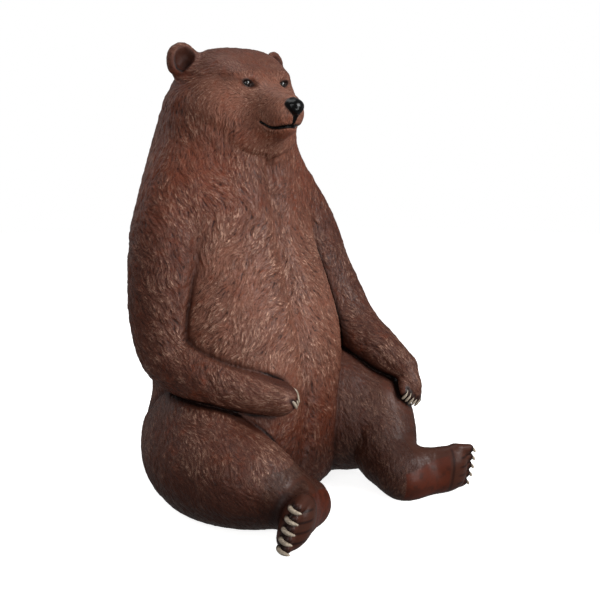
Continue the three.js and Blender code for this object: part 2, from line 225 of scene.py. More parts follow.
def rodPlace(x, y, z, a, b, ra, rb):
    # Distance to a tapered rod with round ends, and the share of its length at the nearest place
    dx, dy, dz = b[0] - a[0], b[1] - a[1], b[2] - a[2]
    px, py, pz = x - a[0], y - a[1], z - a[2]
    length = math.sqrt(dx * dx + dy * dy + dz * dz)
    along = (px * dx + py * dy + pz * dz) / length
    off = np.sqrt(np.maximum(px * px + py * py + pz * pz - along * along, 0))
    taper = (rb - ra) / length
    t = np.clip((along + taper / math.sqrt(1 - taper * taper) * off) / length, 0, 1)
    return np.sqrt(off * off + (along - t * length) ** 2) - (ra + (rb - ra) * t), t


def rod(x, y, z, a, b, ra, rb):
    return rodPlace(x, y, z, a, b, ra, rb)[0]


def smoothRun(stations):
    s = np.array(stations, float)
    p = np.vstack([2 * s[0] - s[1], s, 2 * s[-1] - s[-2]])
    run = []
    for i in range(1, len(p) - 2):
        for t in (0, 0.25, 0.5, 0.75):
            run.append(0.5 * (
                2 * p[i] + (p[i + 1] - p[i - 1]) * t
                + (2 * p[i - 1] - 5 * p[i] + 4 * p[i + 1] - p[i + 2]) * t * t
                + (3 * p[i] - p[i - 1] - 3 * p[i + 1] + p[i + 2]) * t ** 3
            ))
    run.append(s[-1])
    return run


def limb(x, y, z, run):
    d = None
    for a, b in zip(run[:-1], run[1:]):
        e = rod(x, y, z, a, b, a[3], b[3])
        d = e if d is None else np.minimum(d, e)
    return d


def ringValues(z):
    rings = np.array(trunkShape["rings"], float)
    height = rings[:, 0]
    slope = np.empty((len(rings), 3))
    slope[1:-1] = (rings[2:, 1:] - rings[:-2, 1:]) / (height[2:] - height[:-2])[:, None]
    slope[0] = (rings[1, 1:] - rings[0, 1:]) / (height[1] - height[0])
    slope[-1] = (rings[-1, 1:] - rings[-2, 1:]) / (height[-1] - height[-2])
    i = np.clip(np.searchsorted(height, z) - 1, 0, len(rings) - 2)
    span = height[i + 1] - height[i]
    t = np.clip((z - height[i]) / span, 0, 1)
    found = []
    for c in (1, 2, 3):
        found.append(
            (2 * t ** 3 - 3 * t ** 2 + 1) * rings[i, c] + (t ** 3 - 2 * t ** 2 + t) * span * slope[i, c - 1]
            + (3 * t ** 2 - 2 * t ** 3) * rings[i + 1, c] + (t ** 3 - t ** 2) * span * slope[i + 1, c - 1]
        )
    return found


def trunk(x, y, z):
    halfWidth, front, back = ringValues(z)
    half = (front + back) / 2
    v = y - (back - front) / 2
    n = np.where(v < 0, trunkShape["frontSquareness"] - 0.6 * np.clip((z - 600) / 500, 0, 1), 2)
    p = np.abs(x) / halfWidth
    q = np.abs(v) / half
    k = np.maximum((p ** n + q ** n) ** (1 / n), 1e-6)
    g = np.hypot(p ** (n - 1) / halfWidth, q ** (n - 1) / half) / k ** (n - 1)
    d = softMax((k - 1) / np.maximum(g, 1e-6), z - trunkShape["top"], 120)
    d = softMin(d, ball(x, y, z, *trunkShape["hump"]), 80)
    for side in (1, -1):
        d = softMin(d, mirroredBall(x, y, z, *trunkShape["shoulder"], side), 80)
    return d + seam(x, y, z)


def seam(x, y, z):
    # The soft channel that runs down chest and belly, with a notch at the throat
    run = np.clip((trunkShape["seamTop"] - z) / 40, 0, 1) * np.clip((z - 120) / 80, 0, 1)
    channel = (16 * np.exp(-((x / 42) ** 2)) + 6 * np.exp(-((x / 16) ** 2))) * run
    notch = 10 * np.exp(-((x / 18) ** 2) - ((z - trunkShape["throat"]) / 28) ** 2)
    return (channel + notch) * (y < 0)


# Head

headCos = math.cos(math.radians(headShape["turn"]))
headSin = math.sin(math.radians(headShape["turn"]))


def headPlace(x, y):
    y = y - headShape["pivotY"]
    return x * headCos - y * headSin, x * headSin + y * headCos + headShape["pivotY"]


def headPlaceBack(p):
    y = p[1] - headShape["pivotY"]
    return p[0] * headCos + y * headSin, y * headCos - p[0] * headSin + headShape["pivotY"], p[2]


def lipHeight(y):
    corner = headShape["mouthCorner"]
    rise = headShape["smile"] * ramp(y, corner - 44, corner)
    return headShape["mouth"] + rise + 6 * ramp(-y, 300, 335)


def mouthLine(y, z, width):
    line = np.clip(1 - np.abs(z - lipHeight(y)) / width, 0, 1)
    return line * np.clip((headShape["mouthCorner"] - y) / 8, 0, 1)


def noseField(x, y, z):
    # A pad that narrows downward to the groove in the lip
    pad = ball(x, y, z, headShape["nose"], headShape["noseSize"])
    wedge = (np.abs(x) - (12 + 0.8 * np.maximum(z - 1303, 0))) * 0.78
    pad = softMax(pad, wedge, 8)
    for s in (-1, 1):
        pad = softMax(pad, -rod(s * x, y, z, *headShape["nostril"]), 4)
    return pad


def head(worldX, worldY, z):
    x, y = headPlace(worldX, worldY)
    d = farAway
    for centre, size, blend in headShape["masses"]:
        d = softMin(d, ball(x, y, z, centre, size), blend)
    muzzle = farAway
    for a, b, ra, rb in headShape["muzzle"]:
        muzzle = softMin(muzzle, rod(x, y, z, a, b, ra, rb), 30)
    d = softMin(d, muzzle, 45)
    eyeX, eyeY, eyeZ = headShape["eye"]
    for s in (-1, 1):
        d = softMin(d, mirroredBall(x, y, z, *headShape["brow"], s), 45)
        d = softMax(d, -ball(x, y, z, (s * (eyeX + 3), eyeY - 26, eyeZ - 1), (25, 20, 14)), 14)
        d = softMin(d, eyelids(x, y, z, s), 5)
        d = softMin(d, ball(x, y, z, (s * eyeX, eyeY, eyeZ), [v - 1 for v in headShape["eyeSize"]]), 2)
        d = softMin(d, mirroredBall(x, y, z, *headShape["lip"], s), 22)
        earX, earY, earZ = headShape["ears"][s]
        facing = (s * headShape["earFacing"][0], headShape["earFacing"][1])
        ear = turnedBall(x, y, z, (earX, earY, earZ), headShape["earSize"], facing)
        ear = softMin(ear, rod(x, y, z, (s * 130, 8, 1430), (earX - s * 15, 18, earZ - 17), 52, 42), 30)
        ear = softMax(ear, -earHollow(x, y, z, s), 24)
        d = softMin(d, ear, 30)
    d = softMin(d, noseField(x, y, z), 7)
    philtrum = 4 * np.exp(-((x / 4) ** 2)) * ramp(1306 - z, 0, 8)
    philtrum = philtrum * ramp(-y, 300, 325) * ramp(z, 1262, 1270)
    lips = lipHeight(y)
    lowerLip = 3 * np.exp(-(((z - lips + 13) / 7) ** 2)) * ramp(-y, 235, 265)
    return d + 8 * mouthLine(y, z, 8) + philtrum - lowerLip


def earHollow(x, y, z, s):
    earX, earY, earZ = headShape["ears"][s]
    facing = (s * headShape["earFacing"][0], headShape["earFacing"][1])
    out = headShape["earHollowOut"]
    place = (earX - s * 8 + facing[0] * out, earY + facing[1] * out, earZ - 3)
    return turnedBall(x, y, z, place, headShape["earHollow"], facing)


def eyelids(x, y, z, s):
    # A thin rim round an almond opening that tips down towards the nose
    eyeX, eyeY, eyeZ = headShape["eye"]
    u, v, w = s * x - eyeX, y - eyeY, z - eyeZ
    w = w - headShape["lidTilt"] * u
    return softMax(ball(u, v, w, *headShape["lidRim"]), -ball(u, v, w, *headShape["lidOpening"]), 3)


# Legs and arms

def footFrame(leg):
    dx = leg["toe"][0] - leg["heel"][0]
    dy = leg["toe"][1] - leg["heel"][1]
    length = math.hypot(dx, dy)
    along = np.array([dx / length, dy / length, 0])
    sole = np.array([leg["side"] * along[1], -leg["side"] * along[0], 0])
    return length, along, sole


def footPlace(x, y, leg):
    length, along, sole = footFrame(leg)
    px = x - leg["heel"][0]
    py = y - leg["heel"][1]
    return length, px * along[0] + py * along[1], px * sole[0] + py * sole[1]


def legField(worldX, worldY, z, leg):
    length, x, y = footPlace(worldX, worldY, leg)
    y = y - footLean * np.clip((x - 80) / 130, 0, 1) * (z - leanStart)
    foot = farAway
    for share, place, size in footMasses:
        foot = softMin(foot, ball(x - length * share, y, z, place, size), 30)
    foot = softMin(foot, rod(x, y, z, (20, -6, 48), (length - 60, -4, 42), 46, 38), 30)
    for i in range(5):
        h = toeBase + toePitch * i
        toe = rod(x, y, z, (length - 70, -6, h), (length - 20 + toeReach[i], -2, h), 27, 19)
        foot = softMin(foot, toe, 7)
    d = softMin(limb(worldX, worldY, z, smoothRun(leg["stations"])), foot, 60)
    d = softMin(d, rod(worldX, worldY, z, *leg["under"]), 50)
    return softMin(d, ball(worldX, worldY, z, *leg["lap"]), 60)


def handFrame(arm):
    forward = np.array(arm["fingers"], float)
    forward /= np.linalg.norm(forward)
    row = np.array(arm["row"], float)
    row -= forward * (row @ forward)
    row /= np.linalg.norm(row)
    back = np.cross(row, forward)
    return forward, row, back if back[2] > 0 else -back


def armField(x, y, z, arm):
    forward, row, _ = handFrame(arm)
    d = softMin(limb(x, y, z, smoothRun(arm["stations"])), ball(x, y, z, arm["palm"], arm["palmSize"]), 25)
    for i in range(-2, 3):
        root = np.array(arm["palm"]) + row * i * fingerPitch
        tip = root + forward * (arm["fingerLength"] - abs(i) * 3)
        d = softMin(d, rod(x, y, z, root, tip, fingerRadius + 4, fingerRadius), 8)
    return d


# Each part, the box that it is worked out in, how softly it joins what comes before it,
# and how deep the fold between the two is, up to which height
foldWidth = 10
foldFade = 260
deepFold = 8
bodyParts = {
    "trunk": {"field": trunk, "low": (-600, -500, -50), "high": (600, 420, 1600), "blend": 0},
    "head": {
        "field": head,
        "low": (-330, -460, 1120), "high": (330, 260, 1600), "blend": 34, "fold": 5, "foldTop": 1500},
    "rightLeg": {
        "field": lambda x, y, z: legField(x, y, z, legShapes["right"]),
        "low": (-560, -760, -50), "high": (140, 260, 460), "blend": 30, "fold": 6, "foldTop": 1010},
    "leftLeg": {
        "field": lambda x, y, z: legField(x, y, z, legShapes["left"]),
        "low": (-60, -800, -50), "high": (620, 310, 540), "blend": 30, "fold": 5, "foldTop": 1010},
    "rightArm": {
        "field": lambda x, y, z: armField(x, y, z, armShapes["right"]),
        "low": (-500, -520, 280), "high": (-40, 200, 1200), "blend": 16, "fold": 7, "foldTop": 1010},
    "leftArm": {
        "field": lambda x, y, z: armField(x, y, z, armShapes["left"]),
        "low": (60, -620, 220), "high": (560, 200, 1200), "blend": 16, "fold": 7, "foldTop": 1010},
}


def partDistance(part, points):
    low, high = np.array(part["low"]), np.array(part["high"])
    near = np.flatnonzero(np.all((points > low) & (points < high), axis=1))
    d = np.full(len(points), farAway)
    if len(near):
        d[near] = part["field"](points[near, 0], points[near, 1], points[near, 2])
    return d


def foldDepth(part, points):
    return part["fold"] * ramp(part["foldTop"] - points[:, 2], 0, foldFade)


def bodyField(points):
    d = np.full(len(points), farAway)
    for part in bodyParts.values():
        e = partDistance(part, points)
        if part["blend"]:
            fold = foldDepth(part, points) * np.exp(-(((d - e) / foldWidth) ** 2))
            e = softMin(d, e, part["blend"]) + fold
        d = e
    return np.maximum(d, -points[:, 2])


# Surface

meshing = {
    "step": 7.6,    # spacing of the grid; each triangle is then cut in four
    "coarseStep": 20,
    "band": 32,
    "batch": 400000,
    "faceLevel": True,           # the face is cut once more
}


def narrowBand(xs, ys, zs):
    # Values on the whole grid, exact near the surface and rough away from it
    coarse = [np.arange(a[0], a[-1] + meshing["coarseStep"], meshing["coarseStep"]) for a in (xs, ys, zs)]
    nodes = np.stack(np.meshgrid(*coarse, indexing="ij"), -1).reshape(-1, 3)
    rough = bodyField(nodes).reshape([len(c) for c in coarse])
    nearest = [np.rint((a - a[0]) / meshing["coarseStep"]).astype(int) for a in (xs, ys, zs)]
    values = rough[np.ix_(*nearest)].astype(np.float32)
    near = np.argwhere(np.abs(values) < meshing["band"])
    for start in range(0, len(near), meshing["batch"]):
        part = near[start:start + meshing["batch"]]
        points = np.stack([xs[part[:, 0]], ys[part[:, 1]], zs[part[:, 2]]], 1)
        values[part[:, 0], part[:, 1], part[:, 2]] = bodyField(points)
    values[:, :, 0] = np.maximum(values[:, :, 0], 1)
    return values


def surfaceNet(values, xs, ys, zs):
    # One point in each cell that the surface crosses, one quad round each edge that it cuts
    inside = values < 0
    nx, ny, nz = values.shape
    count = np.zeros((nx - 1, ny - 1, nz - 1), np.int8)
    corners = [(i, j, k) for i in (0, 1) for j in (0, 1) for k in (0, 1)]
    for i, j, k in corners:
        count += inside[i:nx - 1 + i, j:ny - 1 + j, k:nz - 1 + k]
    cells = np.argwhere((count > 0) & (count < 8))
    index = np.full(count.shape, -1, np.int32)
    index[tuple(cells.T)] = np.arange(len(cells))
    place = np.stack([xs[cells[:, 0]], ys[cells[:, 1]], zs[cells[:, 2]]], 1)
    size = np.stack([xs[cells[:, 0] + 1], ys[cells[:, 1] + 1], zs[cells[:, 2] + 1]], 1) - place
    total = np.zeros((len(cells), 3))
    hits = np.zeros(len(cells))
    for a in corners:
        for axis in range(3):
            if a[axis]:
                continue
            b = list(a)
            b[axis] = 1
            va = values[cells[:, 0] + a[0], cells[:, 1] + a[1], cells[:, 2] + a[2]]
            vb = values[cells[:, 0] + b[0], cells[:, 1] + b[1], cells[:, 2] + b[2]]
            cut = (va < 0) != (vb < 0)
            at = np.tile(np.array(a, float), (cut.sum(), 1))
            at[:, axis] += va[cut] / (va[cut] - vb[cut])
            total[cut] += at
            hits[cut] += 1
    vertices = place + size * total / hits[:, None]
    quads = []
    for axis in range(3):
        others = [(1, 2), (2, 0), (0, 1)][axis]
        low = [slice(None)] * 3
        high = [slice(None)] * 3
        low[axis] = slice(0, -1)
        high[axis] = slice(1, None)
        edge = np.argwhere(inside[tuple(low)] != inside[tuple(high)])
        keep = np.ones(len(edge), bool)
        for o in others:
            keep &= (edge[:, o] > 0) & (edge[:, o] < values.shape[o] - 1)
        edge = edge[keep]
        outward = inside[tuple(low)][tuple(edge.T)]
        ring = []
        for back0, back1 in ((1, 1), (0, 1), (0, 0), (1, 0)):
            q = edge.copy()
            q[:, others[0]] -= back0
            q[:, others[1]] -= back1
            ring.append(index[tuple(q.T)])
        ring = np.stack(ring, 1)
        ring[~outward] = ring[~outward][:, ::-1]
        quads.append(ring)
    return vertices, np.concatenate(quads)


def triangulate(vertices, quads):
    # Each quad is cut along its shorter diagonal
    d0 = np.linalg.norm(vertices[quads[:, 0]] - vertices[quads[:, 2]], axis=1)
    d1 = np.linalg.norm(vertices[quads[:, 1]] - vertices[quads[:, 3]], axis=1)
    first = d0 <= d1
    a, b = quads[first], quads[~first]
    return np.concatenate([a[:, [0, 1, 2]], a[:, [0, 2, 3]], b[:, [0, 1, 3]], b[:, [1, 2, 3]]])


def refine(vertices, triangles, chosen):
    # Cuts the chosen triangles in four, and their neighbours to match
    sides = np.concatenate([triangles[:, [0, 1]], triangles[:, [1, 2]], triangles[:, [2, 0]]])
    sides.sort(axis=1)
    keys, which = np.unique(sides[:, 0].astype(np.int64) * len(vertices) + sides[:, 1], return_inverse=True)
    which = which.reshape(3, -1).T
    split = np.zeros(len(keys), bool)
    split[which[chosen].ravel()] = True
    while True:
        two = split[which].sum(1) == 2
        if not two.any():
            break
        split[which[two].ravel()] = True
    cuts = split[which].sum(1)
    middle = np.full(len(keys), -1)
    middle[split] = len(vertices) + np.arange(split.sum())
    a, b = keys[split] // len(vertices), keys[split] % len(vertices)
    vertices = np.concatenate([vertices, (vertices[a] + vertices[b]) / 2])
    m = middle[which]
    t, q = triangles[cuts == 3], m[cuts == 3]
    parts = [triangles[cuts == 0], q]
    for i in range(3):
        parts.append(np.stack([t[:, i], q[:, i], q[:, i - 1]], 1))
    once = np.flatnonzero(cuts == 1)
    first = np.argmax(split[which[once]], axis=1)
    t = [triangles[once, (first + i) % 3] for i in range(3)]
    q = m[once, first]
    parts += [np.stack([t[0], q, t[2]], 1), np.stack([q, t[1], t[2]], 1)]
    return vertices, np.concatenate(parts)


def vertexNormals(vertices, triangles):
    a, b, c = (vertices[triangles[:, i]] for i in range(3))
    face = np.cross(b - a, c - a)
    normals = np.zeros_like(vertices)
    for i in range(3):
        for axis in range(3):
            normals[:, axis] += np.bincount(triangles[:, i], face[:, axis], len(vertices))
    return normals / np.maximum(np.linalg.norm(normals, axis=1), 1e-9)[:, None]


def wave(points, size, seed, count=18):
    # Smooth noise of about unit height, with features of a given size in millimetres
    rng = np.random.default_rng(seed)
    turn = rng.normal(size=(count, 3))
    turn *= rng.uniform(0.6, 1.4, (count, 1)) / np.linalg.norm(turn, axis=1)[:, None]
    phase = rng.uniform(0, 2 * math.pi, count)
    total = np.zeros(len(points))
    for t, p in zip(turn, phase):
        total += np.sin(points @ (t * (2 * math.pi / size)) + p)
    return total / math.sqrt(count / 2)


# Fur

furLie = {
    "seamWidth": 28,        # beside the seam the fur turns from straight down to outward within this
    "bellyOut": 0.95,       # sideways share of the fur on the belly, away from the seam
    "chestIn": 0.55,        # and on the chest, towards it
    "armForward": 0.55,
    "broadWave": 0.26,      # how far the lie wanders, in radians
    "fineWave": 0.22,
}

furLayers = [
    # spacing of the roots, half width, length and height in millimetres; the wash darkens between the locks
    {"name": "clumps", "zone": "fur", "wash": 0.3, "seed": 11,
     "spacing": 44, "halfWidth": 20, "length": 120, "height": 4.0},
    {"name": "locks", "zone": "fur", "wash": 1.1, "seed": 12,
     "spacing": 10.5, "halfWidth": 4.4, "length": 54, "height": 4.0},
    {"name": "short fur", "zone": "short", "wash": 0.45, "seed": 13,
     "spacing": 8, "halfWidth": 3.4, "length": 26, "height": 1.0},
]
sameSurface = 14     # a lock is laid only on skin this near its root, in millimetres
heightSteps = 10000  # heights are packed above the number of the lock, in steps of a tenth of a micrometre
lockRange = 1048576


def limbDirection(points, run):
    best = np.full(len(points), 1e9)
    way = np.zeros((len(points), 3))
    for a, b in zip(run[:-1], run[1:]):
        d = rod(points[:, 0], points[:, 1], points[:, 2], a, b, a[3], b[3])
        nearer = d < best
        best[nearer] = d[nearer]
        way[nearer] = (b[:3] - a[:3]) / np.linalg.norm(b[:3] - a[:3])
    return way


def furDirection(points, normals, share):
    # Out from the seam on the belly, in towards it on the chest, down the back,
    # along the limbs, and away from the nose on the head
    x, y, z = points.T
    lie = furLie
    side = np.sign(x)
    away = side * (1 - np.exp(-np.abs(x) / lie["seamWidth"]))
    front = ramp(-normals[:, 1], -0.2, 0.5)
    belly = ramp(1050 - z, 0, 150)
    low = ramp(400 - z, 0, 140)
    sideways = lie["bellyOut"] * belly * (1 - 0.65 * low) - lie["chestIn"] * (1 - belly)
    ways = {"trunk": np.stack([away * sideways * front + side * 0.12 * (1 - front), 0 * x, -1 + 0 * x], 1)}
    hx, hy = headPlace(x, y)
    fromNose = np.stack([hx, hy + 330, z - 1320], 1)
    fromNose /= np.linalg.norm(fromNose, axis=1)[:, None]
    under = ramp(1400 - z, 0, 150)[:, None]
    ways["head"] = fromNose * (1 - 0.55 * under) + np.array([0, 0, -1]) * (0.2 + 1.25 * under)
    for name, shape, s in (("rightArm", armShapes["right"], -1), ("leftArm", armShapes["left"], 1)):
        along = limbDirection(points, smoothRun(shape["stations"]))
        upper = ramp(z, 470, 620)[:, None]
        ways[name] = along + upper * lie["armForward"] * np.array([-s * 0.6, -1, 0])
        ways[name] += (1 - upper) * np.array([0, 0, -0.3])
    for name, shape in (("rightLeg", legShapes["right"]), ("leftLeg", legShapes["left"])):
        along = limbDirection(points, smoothRun(shape["stations"]))
        ways[name] = along * 0.62 + np.array([0, 0, -0.85])
    way = sum(ways[name] * share[name][:, None] for name in ways)
    way -= normals * np.sum(way * normals, 1)[:, None]
    way /= np.maximum(np.linalg.norm(way, axis=1), 1e-6)[:, None]
    turn = lie["broadWave"] * wave(points, 260, 3) + lie["fineWave"] * wave(points, 85, 4)
    across = np.cross(normals, way)
    return way * np.cos(turn)[:, None] + across * np.sin(turn)[:, None]


def cellKeys(cells):
    return (cells[:, 0] + 512) * 1048576 + (cells[:, 1] + 512) * 1024 + (cells[:, 2] + 512)


def furRelief(points, normals, way, amount, layer):
    # Pointed locks that overlap like shingles: the tallest one wins at each point
    rng = np.random.default_rng(layer["seed"])
    order = rng.permutation(len(points))
    order = order[amount[order] > 0.03]
    keys = cellKeys(np.floor(points[order] / layer["spacing"]).astype(int))
    roots = order[np.sort(np.unique(keys, return_index=True)[1])]
    n = len(roots)
    long = layer["length"] * rng.uniform(0.65, 1.25, n) * (0.6 + 0.4 * amount[roots])
    wide = layer["halfWidth"] * rng.uniform(0.75, 1.25, n) * (0.6 + 0.4 * amount[roots])
    tall = layer["height"] * rng.uniform(0.55, 1.1, n)
    bend = rng.normal(0, 0.10, n) + 0.22 * wave(points[roots], 110, layer["seed"] + 5)
    swing = rng.uniform(-0.12, 0.12, n)
    centre, nn = points[roots], normals[roots]
    f = way[roots] + np.cross(nn, way[roots]) * swing[:, None]
    f /= np.linalg.norm(f, axis=1)[:, None]
    side = np.cross(nn, f)
    beads = max(1, round(layer["length"] / (layer["halfWidth"] * 3.2)))
    reach = layer["length"] * 1.25 / beads / 2 + layer["halfWidth"]
    byKey = np.argsort(cellKeys(np.floor(points / reach).astype(int)), kind="stable")
    sortedKey = cellKeys(np.floor(points[byKey] / reach).astype(int))
    best = np.zeros(len(points), np.int64)
    for bead in range(beads):
        middle = (bead + 0.5) / beads
        place = centre + f * (long * (middle - 0.5))[:, None]
        place += side * (bend * long * 1.6 * (middle - 0.5) ** 2)[:, None]
        cells = np.floor(place / reach).astype(int)
        for step in range(27):
            key = cellKeys(cells + (step // 9 - 1, step // 3 % 3 - 1, step % 3 - 1))
            start = np.searchsorted(sortedKey, key, "left")
            count = np.searchsorted(sortedKey, key, "right") - start
            lock = np.repeat(np.arange(n), count)
            offset = np.arange(len(lock)) - np.repeat(np.cumsum(count) - count, count)
            vertex = byKey[np.repeat(start, count) + offset]
            d = points[vertex] - centre[lock]
            u = np.einsum("ij,ij->i", d, f[lock]) / long[lock] + 0.5
            near = (u > bead / beads) & (u <= (bead + 1) / beads)
            lock, vertex, d, u = lock[near], vertex[near], d[near], u[near]
            v = np.einsum("ij,ij->i", d, side[lock]) - bend[lock] * long[lock] * 1.6 * (u - 0.5) ** 2
            taper = np.sqrt(np.clip((1 - u) / 0.5, 0, 1)) * np.clip(0.45 + u / 0.4, 0, 1)
            v /= np.maximum(wide[lock] * taper, 0.5)
            h = tall[lock] * ramp(u, -0.1, 0.65) * (1 - 0.5 * ramp(u, 0.65, 1))
            h *= np.sqrt(np.clip(1 - v * v, 0, 1))
            good = (h > 0) & (np.abs(np.einsum("ij,ij->i", d, nn[lock])) < sameSurface)
            good &= np.einsum("ij,ij->i", normals[vertex], nn[lock]) > 0.35
            packed = (h[good] * heightSteps).astype(np.int64) * lockRange + lock[good]
            np.maximum.at(best, vertex[good], packed)
    print("  ", layer["name"], n)
    height, own = (best // lockRange) / heightSteps, best % lockRange
    across = np.einsum("ij,ij->i", points - centre[own], side[own]) + rng.uniform(0, 500, n)[own]
    along = np.einsum("ij,ij->i", points - centre[own], f[own])
    shape = np.where(height > 0, height / tall[own], 0.5)
    return height * amount, shape, rng.uniform(0, 1, n)[own], across, along


# Which of the body is furred, and where each paint goes

def partShares(points):
    stack = np.stack([partDistance(part, points) for part in bodyParts.values()])
    weight = np.exp(-np.clip(stack - stack.min(0), 0, 300) / 14)
    # Painted shade along the folds between parts, as strong as the fold is deep
    foldShade = np.zeros(len(points))
    for i, part in enumerate(bodyParts.values()):
        if part["blend"]:
            gap = np.abs(stack[i] - np.delete(stack, i, 0).min(0))
            foldShade = np.maximum(foldShade, (1 - ramp(gap, 0, 24)) * foldDepth(part, points) / deepFold)
    return dict(zip(bodyParts, weight / weight.sum(0))), foldShade


paintPlaces = {
    # a pair is where a ramp starts and where it ends, in millimetres
    "muzzle": (175, 245),
    "faceSide": (20, 170),
    "faceTop": (1280, 1345),
    "earTop": (1440, 1470),
    "earSide": (130, 165),
    "hand": (90, 200),
    "forearm": (150, 230),
    "belly": (270, 520),
    "upperChest": (860, 1040),
    "maskSide": (-20, 110),
    "maskTop": (1395, 1450),
    "crown": (1430, 1490),
    "lowBelly": (240, 470),
    "thigh": (60, 260),
    "nearFloor": (20, 300),
    "cheekSide": (-90, 20),
    "neck": 1130,          # middle and spread of two bands
    "neckSpread": 170,
    "neckSide": (50, 170),
    "jaw": 1236,
    "jawSpread": 24,
    "jawSide": (150, 220),
    "padHeel": -16,        # edges of the foot pad, along from the heel, back from the toe and up
    "padToe": 106,
    "padTop": 112,
    "ballOfFoot": 98,      # the fold behind the toes and the gaps between them, back from the toe
    "toeGap": 84,
}


def faceZones(hx, hy, z):
    # Black on the nose, its groove and the lips, dark round the eyes with a streak of painted shade behind
    # each, and painted shade in the hollows of the ears
    eyeX, _, eyeZ = headShape["eye"]
    nose = ramp(-noseField(hx, hy, z), -5, -1) * (hy < -318)
    groove = ramp(5 + 0.22 * (z - 1266) - np.abs(hx), 0, 3) * ramp(1312 - z, 0, 5)
    groove = groove * ramp(z, 1260, 1266) * (hy < -310)
    black = np.maximum(nose, np.maximum(groove, ramp(mouthLine(hy, z, 7), 0.1, 0.45)))
    hollow, lid = np.zeros((2, len(z)))
    for s in (-1, 1):
        u, w = s * hx - eyeX, z - eyeZ
        almond = np.hypot((u - 1) / 25, (w - headShape["lidTilt"] * u) / 15)
        # a streak of painted shade for the crease behind the eye
        streak = np.exp(-(((w - 7 - 0.1 * u) / 8) ** 2)) * ramp(u, 15, 30) * (1 - ramp(u, 60, 110))
        lid = np.maximum(lid, np.maximum(1 - ramp(almond, 0.75, 1.15), 0.35 * streak))
        # painted shade in the ear hollow
        hollow = np.maximum(hollow, 1 - ramp(earHollow(hx, hy, z, s), -14, 9))
    return black, lid * (hy < -60), hollow


def footZones(points, normals, share):
    # The foot, the pad under it, the bare skin round the pad, and painted shade in the gaps that part the
    # toes and in the fold behind them
    x, y, z = points.T
    places = paintPlaces
    foot, pad, bareSkin, gaps = np.zeros((4, len(points)))
    for name, leg in (("rightLeg", legShapes["right"]), ("leftLeg", legShapes["left"])):
        length, along, out = footPlace(x, y, leg)
        facing = normals @ footFrame(leg)[2]
        own = (share[name] > 0.5) * (z < 215)
        foot = np.maximum(foot, own * ramp(along, -70, 60) * ramp(out, -120, -70))
        edge = np.minimum(along - places["padHeel"], (length - places["padToe"]) - along)
        edge = np.minimum(edge, np.minimum(z - 6, places["padTop"] + 0.25 * along - z))
        pad = np.maximum(pad, own * ramp(facing, 0.5, 0.8) * ramp(edge, 0, 7))
        onFoot = own * ramp(out, -55, -25) * (along < length + 40) * (z < 185)
        bareSkin = np.maximum(bareSkin, onFoot * ramp(facing, 0.2, 0.6) * ramp(along, 90, 150))
        bareSkin = np.maximum(bareSkin, onFoot * ramp(along, length - 80, length - 40))
        # painted shade in the gaps between the toes
        off = np.min([np.abs(z - toeBase - toePitch * (i + 0.5)) for i in range(4)], axis=0)
        toeRoot = length - places["toeGap"]
        gaps = np.maximum(gaps, onFoot * (1 - ramp(off, 1.5, 6)) * ramp(along, toeRoot, toeRoot + 24))
        # painted shade across the fold behind the toes
        crossFold = np.exp(-(((along - (length - places["ballOfFoot"])) / 5) ** 2))
        gaps = np.maximum(gaps, 0.8 * crossFold * onFoot * ramp(facing, 0.3, 0.7))
    return foot, pad, bareSkin, gaps


def clawBed(points, near, claws):
    # Distance to the nearest claw
    bed = np.full(len(points), 1e9)
    best = bed[near]
    for path in claws:
        for a, b in zip(path[:-1], path[1:]):
            best = np.minimum(best, rod(*points[near].T, a, b, 6, 6))
    bed[near] = best
    return bed


